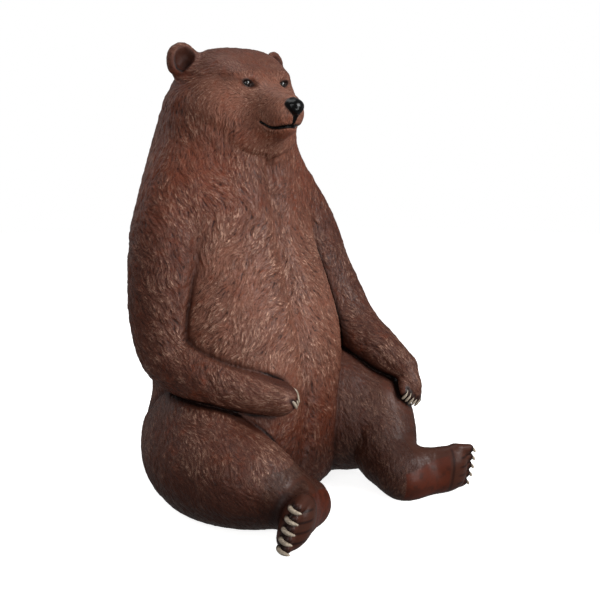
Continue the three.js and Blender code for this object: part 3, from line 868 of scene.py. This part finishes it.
def paintZones(points, normals, share, claws, foldShade):
    x, y, z = points.T
    hx, hy = headPlace(x, y)
    places = paintPlaces
    onHead = share["head"]
    black, lid, hollow = faceZones(hx, hy, z)
    foot, pad, bareSkin, gaps = footZones(points, normals, share)
    muzzle = ramp(-hy, *places["muzzle"]) * onHead
    face = ramp(-hy, *places["faceSide"]) * ramp(z, *places["faceTop"]) * onHead
    crown = ramp(z, *places["crown"]) * onHead
    ears = ramp(z, *places["earTop"]) * ramp(np.abs(hx), *places["earSide"]) * onHead
    hand = np.zeros(len(points))
    for arm in armShapes.values():
        fromPalm = np.linalg.norm(points - np.array(arm["palm"]), axis=1)
        hand = np.maximum(hand, 1 - ramp(fromPalm, *places["hand"]))
    bed = clawBed(points, (foot > 0) | (hand > 0), claws)
    zones = {"black": black * (onHead > 0.3), "pad": pad}

    # Where the long and the short fur grow
    # The inner forearm carries less fur and gets painted shade
    inner = share["rightArm"] * ramp(normals[:, 2] + 0.5 * normals[:, 0], 0.5, 0.9)
    inner *= ramp(-y, *places["forearm"])
    bare = np.maximum(np.maximum(foot, hand), np.maximum(ears * 0.7, inner * 0.7))
    clear = (1 - zones["black"]) * (1 - lid) * (1 - pad) * ramp(z, 2, 22) * ramp(bed, 2, 12)
    shortFur = np.clip(np.maximum(np.maximum(face, muzzle), crown * 0.6) * (1 - 0.4 * ears), 0, 1)
    zones["short"] = shortFur * clear
    fur = (1 - 0.55 * bare) * (1 - 0.94 * np.maximum(face, muzzle)) * (1 - 0.5 * crown)
    fur *= (1 - 0.9 * bareSkin) * (1 - 0.3 * share["rightLeg"] - 0.5 * share["leftLeg"])
    zones["fur"] = np.clip(fur * clear, 0, 1)

    # Pale, rust and dark paint
    front = ramp(-normals[:, 1], -0.15, 0.4)
    chest = share["trunk"] * front * ramp(z, *places["belly"]) * (1 - 0.6 * ramp(z, *places["upperChest"]))
    mask = onHead * ramp(-hy, *places["maskSide"]) * (1 - 0.85 * ramp(z, *places["maskTop"])) * (1 - ears)
    zones["pale"] = np.clip(chest + 1.15 * mask, 0, 1.15)
    neck = np.exp(-(((z - places["neck"]) / places["neckSpread"]) ** 2))
    neck *= ramp(np.abs(x), *places["neckSide"])
    lowBelly = share["trunk"] * (1 - ramp(z, *places["lowBelly"]))
    jaw = onHead * np.exp(-(((z - places["jaw"]) / places["jawSpread"]) ** 2))
    jaw *= ramp(-hy, *places["jawSide"])
    thigh = (share["rightLeg"] + share["leftLeg"]) * (1 - ramp(z, *places["thigh"]))
    cheekSide = onHead * ramp(hy, *places["cheekSide"]) * (1 - crown)
    rust = 0.6 * neck + 0.8 * lowBelly + 0.6 * jaw + 0.65 * thigh + 0.5 * bareSkin + 0.5 * cheekSide
    zones["rust"] = np.clip(rust, 0, 1)
    # Darker towards the floor and on the legs, feet and low belly; the left arm and leg get more of it, as
    # painted shade on that side
    low = 0.9 * (1 - ramp(z, *places["nearFloor"]))
    low += 0.2 * share["rightLeg"] + 0.7 * share["leftLeg"] + 0.4 * share["leftArm"]
    low += 0.5 * foot + 0.5 * lowBelly + 0.5 * bareSkin - 0.9 * jaw
    zones["low"] = np.clip(low, 0, 1)

    # Painted shade in the hollows, measured a little way out from the skin, and in the folds
    inside = np.maximum(1 - bodyField(points + normals * 14) / 14, 0)
    deep = np.maximum(1 - bodyField(points + normals * 45) / 45, 0)
    shade = np.clip(ramp(inside, 0.25, 0.8) + 0.6 * ramp(deep, 0.35, 0.9), 0, 1)
    shade *= (1 - 0.6 * muzzle) * (1 - 0.95 * jaw)
    around = np.where(hand > foot, 5, 12)
    # Painted shade in the ear hollows, on the inner forearm, in the folds and between the toes; dark paint
    # round the eyes, with a streak of painted shade behind each, and round the claws
    marks = (
        0.95 * hollow, 0.97 * lid, 0.95 * (1 - ramp(bed, 0.4 * around, 1.7 * around)),
        0.55 * inner, 0.65 * foldShade * (1 - onHead) ** 2, 0.8 * gaps)
    for mark in marks:
        shade = np.maximum(shade, mark)
    zones["shade"] = shade
    return zones


# Claws and eyes

def clawPath(root, forward, down, shape, steps=9):
    reach = shape["length"] / shape["bend"]
    path = []
    for i in range(steps):
        a = shape["bend"] * i / (steps - 1)
        path.append(root + forward * (math.sin(a) * reach) + down * ((1 - math.cos(a)) * reach))
    return path


def claw(root, forward, down, shape, sides=12):
    across = np.cross(forward, down)
    across /= np.linalg.norm(across)
    path = clawPath(root, forward, down, shape)
    vertices, faces = [], []
    for i, centre in enumerate(path):
        t = i / (len(path) - 1)
        a = shape["bend"] * t
        up = np.cross(across, forward * math.cos(a) + down * math.sin(a))
        radius = shape["radius"] * (1 - 0.12 * t - 0.5 * t ** 6)
        for j in range(sides):
            w = 2 * math.pi * j / sides
            vertices.append(centre + across * (math.cos(w) * radius * 0.9) + up * (math.sin(w) * radius))
    for i in range(len(path) - 1):
        for j in range(sides):
            n = (j + 1) % sides
            a, b, c, d = i * sides + j, i * sides + n, (i + 1) * sides + n, (i + 1) * sides + j
            faces += [(a, c, b), (a, d, c)]
    last = (len(path) - 1) * sides
    vertices += [path[-1] + (path[-1] - path[-2]) * 0.3, path[0]]
    for j in range(sides):
        n = (j + 1) % sides
        faces.append((last + n, last + j, len(vertices) - 2))
        faces.append((j, n, len(vertices) - 1))
    along = np.append(np.repeat(np.linspace(0, 1, len(path)), sides), (1, 0))
    return np.array(vertices), np.array(faces), along


def clawPlaces():
    found = []
    for leg in legShapes.values():
        length, along, sole = footFrame(leg)
        for i in range(5):
            h = toeBase + toePitch * i
            root = np.array([*leg["heel"], 0]) + along * (length + leg["clawReach"] + toeReach[i])
            root += sole * (footLean * (h - leanStart) - 22)
            root[2] = h + 4
            down = sole + np.array([0, 0, -0.2])
            found.append((root, along, down / np.linalg.norm(down), footClaw))
    for arm in armShapes.values():
        forward, row, back = handFrame(arm)
        for i in range(-2, 3):
            root = np.array(arm["palm"]) + row * i * fingerPitch
            root = root + forward * (arm["fingerLength"] - abs(i) * 3 - arm["clawBack"])
            root = root + back * arm["clawLift"]
            found.append((root, forward, -back, handClaw))
    return found


def eyeBall(centre, size, rings=20, sides=32):
    vertices, faces = [], []
    for i in range(rings + 1):
        a = math.pi * i / rings
        for j in range(sides):
            b = 2 * math.pi * j / sides
            spot = (math.sin(a) * math.cos(b), math.sin(a) * math.sin(b), math.cos(a))
            vertices.append([centre[k] + size[k] * spot[k] for k in range(3)])
    for i in range(rings):
        for j in range(sides):
            n = (j + 1) % sides
            a, b, c, d = i * sides + j, i * sides + n, (i + 1) * sides + n, (i + 1) * sides + j
            if i > 0:
                faces.append((a, c, b))
            if i < rings - 1:
                faces.append((a, d, c))
    return np.array(vertices), np.array(faces)


# Paints. Colours are sRGB hex values.

def linearColour(hexValue):
    channels = [int(hexValue[i:i + 2], 16) / 255 for i in (1, 3, 5)]
    return [c / 12.92 if c <= 0.04045 else ((c + 0.055) / 1.055) ** 2.4 for c in channels] + [1.0]


def addNode(tree, kind, settings=None, inputs=None):
    node = tree.nodes.new(kind)
    for name, value in (settings or {}).items():
        setattr(node, name, value)
    for name, value in (inputs or {}).items():
        if isinstance(value, bpy.types.NodeSocket):
            tree.links.new(value, node.inputs[name])
        else:
            node.inputs[name].default_value = value
    return node


def newMaterial(name):
    material = bpy.data.materials.new(name)
    material.use_nodes = True
    material.node_tree.nodes.clear()
    return material, material.node_tree


furPaint = {
    "groove": "#1a0a06",      # thinned dark wash that settles between the locks; also laid as painted shade in hollows and folds
    "limbs": "#5d3123",
    "belly": "#865543",
    "weathered": "#653b2d",   # greyer brown that clouds the rest
    "dryBrush": "#d0a58d",    # pale paint dragged over the ridges
    "rust": "#7a3417",
    # dark brown towards the floor and on the legs, laid deeper on the left arm and leg as painted shade
    "low": "#2f150c",
    "pad": "#502010",
    "black": "#050404",
    "cloudSize": 150,         # millimetres
    "mottleSize": 30,
    "strandWidth": 4.0,       # real hairs are far finer than the render shows
    "strandLength": 46,
    "grainSize": 5,
    "roughness": 0.44,
    "coat": 0.06,
    "coatRoughness": 0.25,
    "specular": 0.21,
}


paintLayers = (
    # Each paint is laid over those before it, as far as the strongest of its ways says. A way is a product
    # of steps: a zone as it is, a plain share, or a name with its start, its end and the share at either
    ("belly", (("pale",),)),
    ("weathered", ((("cloud", 0.38, 0.66, 0, 0.55),),)),
    ("rust", (
        ("rust", ("mottle", 0.3, 0.62, 0.35, 1)),
        (("mottle", 0.5, 0.68, 0, 0.5), ("cloud", 0.6, 0.42, 0, 1)))),
    ("low", (("low", 0.85),)),
    ("groove", ((("tint", 0.45, 0, 0, 0.3), "fur"),)),    # some locks are a little darker than the next
    # dark wash between the locks and the hairs, and painted shade in hollows and folds
    ("groove", (
        (("relief", 0.52, 0.1, 0, 0.84),), (("grain", 0.5, 0.32, 0, 0.2),),
        (("strand", 0.52, 0.38, 0, 0.8),), ("shade",))),
    ("dryBrush", ((
        ("relief", 0.6, 1, 0, 1), ("tint", 0.2, 0.95, 0.2, 0.9), ("cloud", 0.38, 0.6, 0.3, 1.15),
        ("strand", 0.45, 0.6, 0.1, 1.5), ("pale", 0, 1, 0.5, 0.9), ("fur", 0, 0.6, 0.45, 1),
        ("shade", 0.5, 0, 0, 1), ("low", 0.2, 0.9, 1, 0.35)),)),
    ("pad", (("pad",),)),
    ("low", (("pad", ("mottle", 0.4, 0.65, 0, 0.6)),)),
    ("black", (("black",),)),
)


def paintShare(tree, followed, ways):
    # How much of a paint is laid: the strongest of its ways
    strongest = None
    for steps in ways:
        share = 1.0
        for step in steps:
            if isinstance(step, str):
                step = followed[step]
            elif isinstance(step, tuple):
                name, start, end, low, high = step
                step = addNode(tree, "ShaderNodeMapRange", {"interpolation_type": "SMOOTHSTEP"}, {
                    0: followed[name], 1: start, 2: end, 3: low, 4: high}).outputs[0]
            share = addNode(tree, "ShaderNodeMath", {"operation": "MULTIPLY"}, {
                0: share, 1: step}).outputs[0]
        if strongest is not None:
            share = addNode(tree, "ShaderNodeMath", {"operation": "MAXIMUM"}, {
                0: strongest, 1: share}).outputs[0]
        strongest = share
    return strongest


def handPaintedFiberglass():
    # Polyester gelcoat from a carved mould, washed dark, dry-brushed and clear coated, with painted shade
    # in hollows and folds: broken satin brown with small sharp lights on the ridges
    material, tree = newMaterial("handPaintedFiberglass")
    paint = furPaint
    place = addNode(tree, "ShaderNodeTexCoord").outputs["Object"]
    followed = {}
    for name in (
            "relief", "tint", "across", "along", "pale", "rust", "low", "shade", "pad", "black", "fur"):
        followed[name] = addNode(tree, "ShaderNodeAttribute", {"attribute_name": name}).outputs["Fac"]
    for name, detail in (("cloud", 3), ("mottle", 3), ("grain", 2)):
        followed[name] = addNode(tree, "ShaderNodeTexNoise", None, {
            "Vector": place, "Scale": 1 / (paint[name + "Size"] * millimetre),
            "Detail": detail, "Roughness": 0.6}).outputs["Fac"]
    onLock = addNode(tree, "ShaderNodeCombineXYZ", None, {
        0: followed["across"], 1: followed["along"]}).outputs[0]
    hair = addNode(tree, "ShaderNodeVectorMath", {"operation": "MULTIPLY"}, {
        0: onLock, 1: (1 / paint["strandWidth"], 1 / paint["strandLength"], 0)}).outputs[0]
    followed["strand"] = addNode(tree, "ShaderNodeTexNoise", None, {
        "Vector": hair, "Scale": 1.0, "Detail": 1.5, "Roughness": 0.5}).outputs["Fac"]
    base = linearColour(paint["limbs"])
    for name, ways in paintLayers:
        base = addNode(tree, "ShaderNodeMix", {"data_type": "RGBA"}, {
            0: paintShare(tree, followed, ways), 6: base, 7: linearColour(paint[name])}).outputs[2]
    rough = paint["roughness"]
    gloss = paintShare(tree, followed, (
        (("grain", 0.3, 0.7, rough - 0.08, rough + 0.1), ("black", 0.3, 0.9, 1, 0.4)),))
    height = addNode(tree, "ShaderNodeMath", {"operation": "MULTIPLY_ADD"}, {
        0: followed["grain"], 1: 0.4, 2: followed["strand"]}).outputs[0]
    fine = addNode(tree, "ShaderNodeBump", None, {"Strength": 0.6, "Distance": 0.0016, "Height": height})
    shader = addNode(tree, "ShaderNodeBsdfPrincipled", None, {
        "Base Color": base, "Roughness": gloss, "Normal": fine.outputs[0],
        "IOR": 1.5, "Specular IOR Level": paint["specular"],
        "Coat Weight": paint["coat"], "Coat Roughness": paint["coatRoughness"]})
    addNode(tree, "ShaderNodeOutputMaterial", None, {0: shader.outputs[0]})
    return material


clawPaint = {"bone": "#b8a995", "horn": "#8a7c6c", "root": "#22150f", "streakSize": 7, "roughness": 0.36}
eyePaint = {"iris": "#1a0e08", "enamel": "#060403", "fleckSize": 5, "roughness": 0.12}


def bonePaint():
    # Claws painted bone over brown and glazed: dull ivory, brown at the root and in streaks along the horn
    material, tree = newMaterial("bonePaintedClaw")
    place = addNode(tree, "ShaderNodeTexCoord").outputs["Object"]
    streak = addNode(tree, "ShaderNodeTexNoise", None, {
        "Vector": place, "Scale": 1 / (clawPaint["streakSize"] * millimetre), "Detail": 3}).outputs["Fac"]
    along = addNode(tree, "ShaderNodeAttribute", {"attribute_name": "along"}).outputs["Fac"]
    mottled = addNode(tree, "ShaderNodeMapRange", None, {0: streak, 1: 0.35, 2: 0.65}).outputs[0]
    root = addNode(tree, "ShaderNodeMapRange", None, {0: along, 1: 0.32, 2: 0.12}).outputs[0]
    bone = addNode(tree, "ShaderNodeMix", {"data_type": "RGBA"}, {
        0: mottled, 6: linearColour(clawPaint["horn"]), 7: linearColour(clawPaint["bone"])}).outputs[2]
    bone = addNode(tree, "ShaderNodeMix", {"data_type": "RGBA"}, {
        0: root, 6: bone, 7: linearColour(clawPaint["root"])}).outputs[2]
    fine = addNode(tree, "ShaderNodeBump", None, {"Strength": 0.3, "Distance": 0.001, "Height": streak})
    shader = addNode(tree, "ShaderNodeBsdfPrincipled", None, {
        "Base Color": bone, "IOR": 1.5, "Roughness": clawPaint["roughness"], "Normal": fine.outputs[0]})
    addNode(tree, "ShaderNodeOutputMaterial", None, {0: shader.outputs[0]})
    return material


def lacqueredEye():
    # Black-brown enamel under clear lacquer: a hard bright point of light
    material, tree = newMaterial("lacqueredEye")
    place = addNode(tree, "ShaderNodeTexCoord").outputs["Object"]
    fleck = addNode(tree, "ShaderNodeTexNoise", None, {
        "Vector": place, "Scale": 1 / (eyePaint["fleckSize"] * millimetre), "Detail": 2}).outputs["Fac"]
    brown = addNode(tree, "ShaderNodeMapRange", None, {0: fleck, 1: 0.4, 2: 0.7}).outputs[0]
    enamel = addNode(tree, "ShaderNodeMix", {"data_type": "RGBA"}, {
        0: brown, 6: linearColour(eyePaint["enamel"]), 7: linearColour(eyePaint["iris"])}).outputs[2]
    shader = addNode(tree, "ShaderNodeBsdfPrincipled", None, {
        "Base Color": enamel, "IOR": 1.5, "Roughness": eyePaint["roughness"],
        "Coat Weight": 0.3, "Coat Roughness": 0.03})
    addNode(tree, "ShaderNodeOutputMaterial", None, {0: shader.outputs[0]})
    return material


# The bear

skinPieces = ("head", "chest", "back", "rightArm", "leftArm", "rightLeg", "leftLeg")


def bareBody():
    xs = np.arange(-520, 575, meshing["step"])
    ys = np.arange(-760, 395, meshing["step"])
    zs = np.arange(-2.5 * meshing["step"], 1575, meshing["step"])
    values = narrowBand(xs, ys, zs)
    vertices, quads = surfaceNet(values, xs, ys, zs)
    triangles = triangulate(vertices, quads)
    vertices = settle(vertices, triangles, 2)
    onFloor = np.all(vertices[triangles, 2] < 0.5, axis=1)
    vertices, triangles = refine(vertices, triangles, ~onFloor)
    vertices = settle(vertices, triangles, 1)
    if meshing["faceLevel"]:
        centre = vertices[triangles].mean(1)
        hx, hy = headPlace(centre[:, 0], centre[:, 1])
        face = (centre[:, 2] > 1225) & (hy < -150) & (centre[:, 2] < 1450)
        vertices, triangles = refine(vertices, triangles, face)
        vertices = settle(vertices, triangles, 2)
    print("surface:", len(vertices), "points,", len(triangles), "triangles")
    return vertices, triangles


def settle(vertices, triangles, times):
    for _ in range(times):
        vertices = vertices - vertexNormals(vertices, triangles) * bodyField(vertices)[:, None]
        vertices[:, 2] = np.maximum(vertices[:, 2], 0)
    return vertices


def joined(parts):
    # Several small meshes as one
    start = np.cumsum([0] + [len(part[0]) for part in parts])
    faces = [part[1] + first for part, first in zip(parts, start)]
    return np.concatenate([part[0] for part in parts]), np.concatenate(faces)


def writeMesh(name, vertices, triangles, layers):
    mesh = bpy.data.meshes.new(name)
    mesh.vertices.add(len(vertices))
    mesh.vertices.foreach_set("co", np.asarray(vertices * millimetre, np.float32).ravel())
    mesh.loops.add(len(triangles) * 3)
    mesh.loops.foreach_set("vertex_index", np.asarray(triangles, np.int32).ravel())
    mesh.polygons.add(len(triangles))
    mesh.polygons.foreach_set("loop_start", np.arange(0, len(triangles) * 3, 3, dtype=np.int32))
    mesh.polygons.foreach_set("loop_total", np.full(len(triangles), 3, np.int32))
    mesh.polygons.foreach_set("use_smooth", np.ones(len(triangles), bool))
    mesh.update(calc_edges=True)
    for key, values in layers.items():
        layer = mesh.attributes.new(key, "FLOAT", "POINT")
        layer.data.foreach_set("value", np.asarray(values, np.float32))
    return mesh


def addObject(name, data):
    made = bpy.data.objects.new(name, data)
    bpy.context.scene.collection.objects.link(made)
    return made


def addPiece(name, mesh, material):
    mesh.materials.append(material)
    piece = addObject(name, mesh)
    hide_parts("bear")
    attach(piece, "root")
    print(name + ":", len(mesh.polygons), "triangles")
    return piece


def pieceOfEach(vertices, triangles, share):
    names = list(share)
    nearest = np.argmax(np.stack([share[name][triangles].sum(1) for name in names]), axis=0)
    centre = vertices[triangles].mean(1)
    found = np.empty(len(triangles), int)
    for i, name in enumerate(names):
        if name == "trunk":
            own = nearest == i
            found[own] = np.where(centre[own, 1] < 70, skinPieces.index("chest"), skinPieces.index("back"))
        else:
            found[nearest == i] = skinPieces.index(name)
    return found


def layFur(vertices, normals, share, zones):
    # Raises the locks from the skin, and tells the paint where each point lies on its lock
    way = furDirection(vertices, normals, share)
    relief, lift = np.ones(len(vertices)), np.zeros(len(vertices))
    zones["tint"] = np.full(len(vertices), 0.5)
    zones["across"], zones["along"] = np.zeros((2, len(vertices)))
    for layer in furLayers:
        zone = zones[layer["zone"]]
        height, shape, tint, across, along = furRelief(vertices, normals, way, zone, layer)
        lift += height - 0.5 * layer["height"] * zone
        relief -= layer["wash"] * zone * (1 - shape)
        if layer["name"] != "clumps":
            main = zone > 0.25
            zones["tint"][main] = tint[main]
            zones["across"][main], zones["along"][main] = across[main], along[main]
    zones["relief"] = np.clip(relief, 0, 1)
    del zones["short"]
    furred = vertices + normals * lift[:, None]
    furred[:, 2] = np.where(vertices[:, 2] < 0.5, 0, np.maximum(furred[:, 2], 0.3))
    return furred


def addSkin(furred, triangles, owner, zones, shift):
    normals = vertexNormals(furred, triangles)
    skin = handPaintedFiberglass()
    for i, name in enumerate(skinPieces):
        own = triangles[owner == i]
        used = np.unique(own)
        index = np.full(len(furred), -1)
        index[used] = np.arange(len(used))
        layers = {key: values[used] for key, values in zones.items()}
        mesh = writeMesh(name + "Skin", furred[used] + shift, index[own], layers)
        mesh.normals_split_custom_set_from_vertices(normals[used])
        addPiece(name + "_skin", mesh, skin)


def makeBear():
    vertices, triangles = bareBody()
    normals = vertexNormals(vertices, triangles)
    share, foldShade = partShares(vertices)
    places = clawPlaces()
    claws = [claw(*p) for p in places]
    zones = paintZones(vertices, normals, share, [clawPath(*p, 5) for p in places], foldShade)
    print("zones done")
    furred = layFur(vertices, normals, share, zones)
    bare = np.concatenate([vertices] + [c[0] for c in claws])
    shift = np.array(cadBox[0] + cadBox[1]) / 2 / millimetre - (bare.max(0) + bare.min(0)) / 2
    shift[2] = 0
    print("shift", shift.round(2))
    addSkin(furred, triangles, pieceOfEach(vertices, triangles, share), zones, shift)
    points, faces = joined(claws)
    layers = {"along": np.concatenate([c[2] for c in claws])}
    addPiece("claws", writeMesh("claws", points + shift, faces, layers), bonePaint())
    x, y, z = headShape["eye"]
    points, faces = joined([eyeBall(headPlaceBack((s * x, y, z)), headShape["eyeSize"]) for s in (-1, 1)])
    addPiece("eyes", writeMesh("eyes", points + shift, faces, {}), lacqueredEye())
    return shift


# Studio

studio = {
    "cameraPlace": (-2264, -2600, 1270),
    "heading": 45,        # degrees from +Y towards +X
    "pitch": 10.1,        # degrees down
    "lens": 58.74,
    "sensor": 36,
    "paper": "#f4f3f1",
    "paperGlow": 0.86,
    "floorRadius": 9,
    "skyLight": 0.2,
    "lights": {  # place and target in metres, size, watts
        "key": ((1.6, -3.8, 3.1), (0, 0, 0.8), 2.0, 155),
        "low": ((0.4, -3.8, 0.6), (0, 0, 1.1), 1.6, 46),
        "fill": ((-3.6, -2.6, 2.3), (0, 0, 0.7), 2.4, 50),
        "top": ((-0.2, 0.3, 4.2), (0, 0, 0.8), 2.4, 40),
        "back": ((-1.5, 3.6, 2.6), (0, 0, 0.8), 2.4, 20),
    },
}


def placeCamera(shift):
    data = bpy.data.cameras.new("camera")
    data.lens = studio["lens"]
    data.sensor_width = studio["sensor"]
    data.clip_end = 200
    camera = addObject("camera", data)
    camera.location = [(p + s) * millimetre for p, s in zip(studio["cameraPlace"], shift)]
    heading = math.radians(studio["heading"])
    pitch = math.radians(studio["pitch"])
    level = math.cos(pitch)
    aim = Vector((math.sin(heading) * level, math.cos(heading) * level, -math.sin(pitch)))
    camera.rotation_euler = aim.to_track_quat("-Z", "Y").to_euler()
    bpy.context.scene.camera = camera


def makeStudio(shift):
    placeCamera(shift)
    floorMesh = bpy.data.meshes.new("floor")
    rim = [math.radians(a) for a in range(0, 360, 5)]
    corners = [(studio["floorRadius"] * math.cos(a), studio["floorRadius"] * math.sin(a), 0) for a in rim]
    floorMesh.from_pydata(corners, [], [range(len(corners))])
    floor = addObject("floor", floorMesh)
    white = linearColour("#ffffff")
    material, tree = newMaterial("studioPaper")
    shader = addNode(tree, "ShaderNodeBsdfDiffuse", None, {"Color": linearColour(studio["paper"])})
    glow = addNode(tree, "ShaderNodeEmission", None, {"Color": white, "Strength": studio["paperGlow"]})
    both = addNode(tree, "ShaderNodeAddShader", None, {0: shader.outputs[0], 1: glow.outputs[0]})
    addNode(tree, "ShaderNodeOutputMaterial", None, {0: both.outputs[0]})
    floorMesh.materials.append(material)
    floor.visible_diffuse = False      # the paper stays white without lighting the bear from below
    floor.visible_glossy = False
    # The backdrop is white to the eye, but gives the bear only soft light
    world = bpy.data.worlds.new("studio")
    world.use_nodes = True
    tree = world.node_tree
    tree.nodes.clear()
    seen = addNode(tree, "ShaderNodeBackground", None, {"Color": white, "Strength": 1.0})
    cast = addNode(tree, "ShaderNodeBackground", None, {"Color": white, "Strength": studio["skyLight"]})
    ray = addNode(tree, "ShaderNodeLightPath")
    mixed = addNode(tree, "ShaderNodeMixShader", None, {
        0: ray.outputs["Is Camera Ray"], 1: cast.outputs[0], 2: seen.outputs[0]})
    addNode(tree, "ShaderNodeOutputWorld", None, {0: mixed.outputs[0]})
    bpy.context.scene.world = world
    for name, (place, target, size, power) in studio["lights"].items():
        data = bpy.data.lights.new(name, "AREA")
        data.size = size
        data.energy = power
        light = addObject(name, data)
        light.location = place
        light.rotation_euler = (Vector(target) - Vector(place)).to_track_quat("-Z", "Y").to_euler()
    bpy.context.scene.view_settings.view_transform = "Standard"


shift = makeBear()
makeStudio(shift)
print("studio set")
